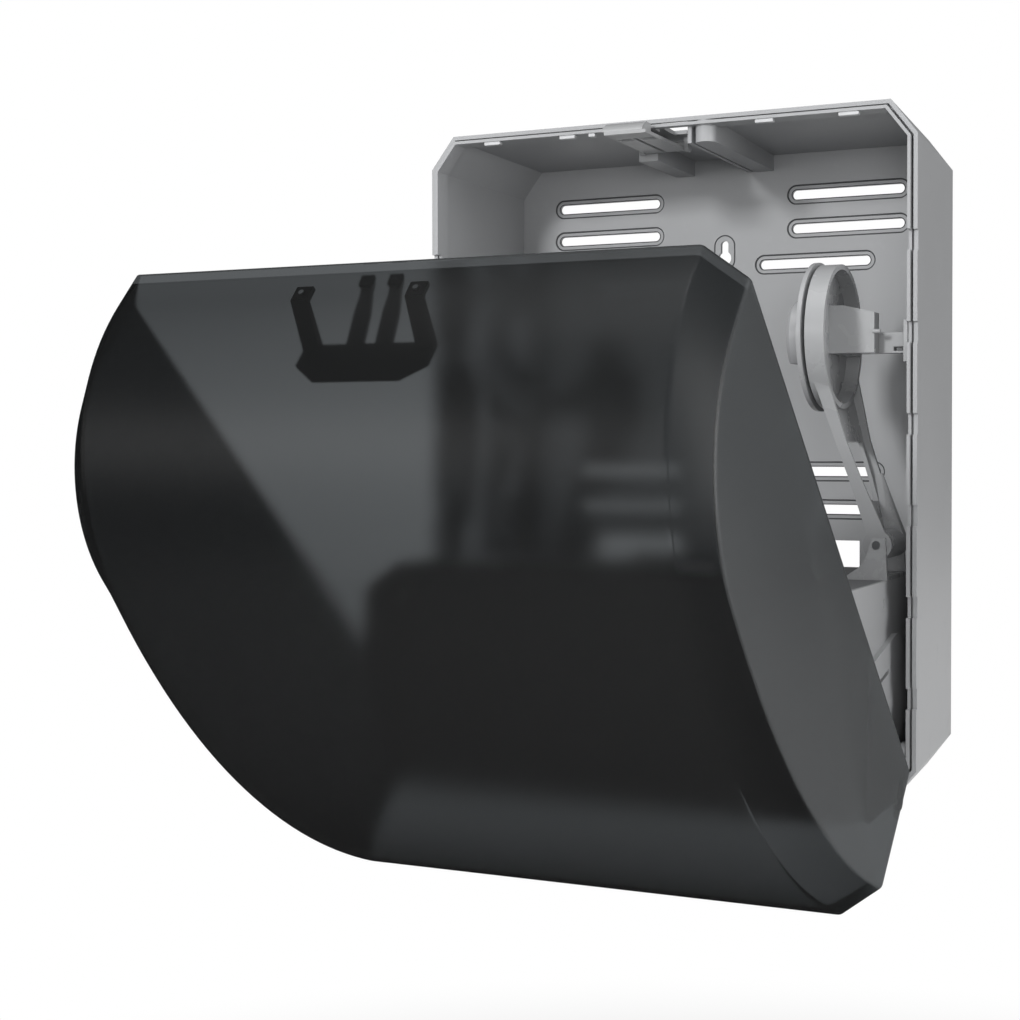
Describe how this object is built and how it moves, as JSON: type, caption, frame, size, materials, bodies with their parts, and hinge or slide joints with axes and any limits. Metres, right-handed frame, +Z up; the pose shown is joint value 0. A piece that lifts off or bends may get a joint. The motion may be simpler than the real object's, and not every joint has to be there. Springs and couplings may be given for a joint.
{
  "type": "automatic roll towel dispenser",
  "caption": "Wall-mounted roll towel dispenser with a tinted drop-front cover, shown open on sprung roll arms and a sensor-driven roller module.",
  "frame": {"origin": "middle of the lower edge of the back panel's rear face, the face that lies on the wall: X = 0 is the housing's middle plane, Y = 0 the wall plane, Z = 0 the lower edge of that face; the rim's lower edge lies 3 mm lower because the housing is drafted", "axes": "+X to the right as seen by someone who faces the dispenser, -Y out of the wall towards that person, +Z up"},
  "size_m": [0.312, 0.4631, 0.4373],
  "materials": {
    "housing_grey": "moulded ABS, fine texture",
    "cover_smoke": "tinted translucent polycarbonate, glossy",
    "catch_black": "black acetal",
    "latch_grey": "moulded acetal",
    "holder_grey": "moulded ABS",
    "hub_grey": "smooth acetal",
    "steel": "zinc plated steel",
    "chassis_grey": "moulded ABS",
    "side_grey": "moulded ABS",
    "front_dark": "moulded ABS",
    "motor_can": "plated motor can",
    "brass": "machined brass",
    "gear_white": "natural acetal",
    "rubber_black": "ground rubber",
    "blade_steel": "stamped stainless steel",
    "lid_grey": "moulded ABS",
    "cell_wrap": "cell wrapper",
    "contact_plate": "plated spring brass",
    "board_green": "coated board",
    "chip_black": "moulded packages",
    "sensor_black": "infrared window",
    "lens_green": "clear green lens",
    "button_light": "moulded ABS"
  },
  "bodies": {
    "housing": {"back_housing": "housing_grey", "left_stay": "holder_grey", "right_stay": "holder_grey", "left_arm_base": "holder_grey", "right_arm_base": "holder_grey", "hinge_pins": "steel", "latch_pin": "steel", "arm_pins": "steel", "arm_springs": "steel", "module_screws": "steel", "front_screws": "steel", "side_screws": "steel", "idler_pin": "steel", "carrier_pins": "steel", "pinch_springs": "steel", "lid_pin": "steel", "board_screws": "steel", "module_chassis": "chassis_grey", "left_side_cover": "side_grey", "right_side_cover": "side_grey", "module_front": "front_dark", "paper_guide": "front_dark", "drive_motor": "motor_can", "shaft_bushes": "gear_white", "tear_bar": "blade_steel", "battery_cells": "cell_wrap", "battery_contacts": "contact_plate", "control_board": "board_green", "board_parts": "chip_black", "sensor_window": "sensor_black", "indicator_lens": "lens_green"},
    "cover": {"cover_shell": "cover_smoke", "cover_catch": "catch_black", "catch_hooks": "catch_black", "catch_screws": "steel"},
    "latch": {"latch_plate": "latch_grey"},
    "right_arm": {"right_arm": "holder_grey", "right_axle": "steel"},
    "left_arm": {"left_arm": "holder_grey", "left_axle": "steel"},
    "right_hub": {"right_hub": "hub_grey"},
    "left_hub": {"left_hub": "hub_grey"},
    "drive_roller": {"drive_shaft": "steel", "roller_sleeves": "rubber_black", "roller_gear": "gear_white"},
    "idler": {"idler_gear": "gear_white"},
    "pinion": {"motor_pinion": "brass", "motor_shaft": "steel"},
    "carrier": {"pinch_carrier": "chassis_grey"},
    "pinch_roller": {"pinch_shaft": "steel", "pinch_rollers": "rubber_black"},
    "lid": {"battery_lid": "lid_grey"},
    "feed_button": {"feed_button": "button_light"},
    "mode_switch": {"mode_switch": "button_light"}
  },
  "joints": [
    {"name": "cover_hinge", "type": "hinge", "parent": "housing", "child": "cover", "pos_m": [0, -0.144, 0.006], "axis": [1, 0, 0], "range_deg": [-49, 0]},
    {"name": "latch_drop", "type": "hinge", "parent": "housing", "child": "latch", "pos_m": [-0.014, -0.074, 0.3885], "axis": [1, 0, 0], "range_deg": [0, 3.5]},
    {"name": "right_arm_flex", "type": "hinge", "parent": "housing", "child": "right_arm", "pos_m": [0.131, -0.09, 0.144], "axis": [0, 1, 0], "range_deg": [0, 2.3], "stiffness_Nm_per_rad": 3, "springref_deg": -6.88},
    {"name": "left_arm_flex", "type": "hinge", "parent": "housing", "child": "left_arm", "pos_m": [-0.131, -0.09, 0.144], "axis": [0, -1, 0], "range_deg": [0, 2.3], "stiffness_Nm_per_rad": 3, "springref_deg": -6.88},
    {"name": "right_hub_spin", "type": "hinge", "parent": "right_arm", "child": "right_hub", "pos_m": [0.09, -0.112, 0.264], "axis": [1, 0, 0], "continuous": true},
    {"name": "left_hub_spin", "type": "hinge", "parent": "left_arm", "child": "left_hub", "pos_m": [-0.09, -0.112, 0.264], "axis": [1, 0, 0], "continuous": true},
    {"name": "drive_spin", "type": "hinge", "parent": "housing", "child": "drive_roller", "pos_m": [0, -0.175, 0.047], "axis": [1, 0, 0], "continuous": true},
    {"name": "idler_spin", "type": "hinge", "parent": "housing", "child": "idler", "pos_m": [0.1256, -0.13685, 0.05511], "axis": [1, 0, 0], "continuous": true},
    {"name": "pinion_spin", "type": "hinge", "parent": "housing", "child": "pinion", "pos_m": [0.1256, -0.11044, 0.06072], "axis": [1, 0, 0], "continuous": true},
    {"name": "pinch_swing", "type": "hinge", "parent": "housing", "child": "carrier", "pos_m": [0, -0.203, 0.079], "axis": [1, 0, 0], "range_deg": [-4, 0], "stiffness_Nm_per_rad": 4, "springref_deg": 6.88, "deforming": ["pinch_springs"]},
    {"name": "pinch_spin", "type": "hinge", "parent": "carrier", "child": "pinch_roller", "pos_m": [0, -0.1993, 0.047], "axis": [1, 0, 0], "continuous": true},
    {"name": "lid_hinge", "type": "hinge", "parent": "housing", "child": "lid", "pos_m": [0, -0.025, 0.12735], "axis": [1, 0, 0], "range_deg": [-95, 0]},
    {"name": "button_press", "type": "slide", "parent": "housing", "child": "feed_button", "axis": [0, 0, -1], "range_m": [0, 0.002], "stiffness_N_per_m": 300},
    {"name": "switch_slide", "type": "slide", "parent": "housing", "child": "mode_switch", "axis": [-1, 0, 0], "range_m": [0, 0.005]}
  ],
  "couplings": [
    {"joint": "idler_spin", "follows": "drive_spin", "ratio": -1.1667},
    {"joint": "pinion_spin", "follows": "drive_spin", "ratio": 2.3333},
    {"joint": "pinch_spin", "follows": "drive_spin", "ratio": -1.6667}
  ]
}
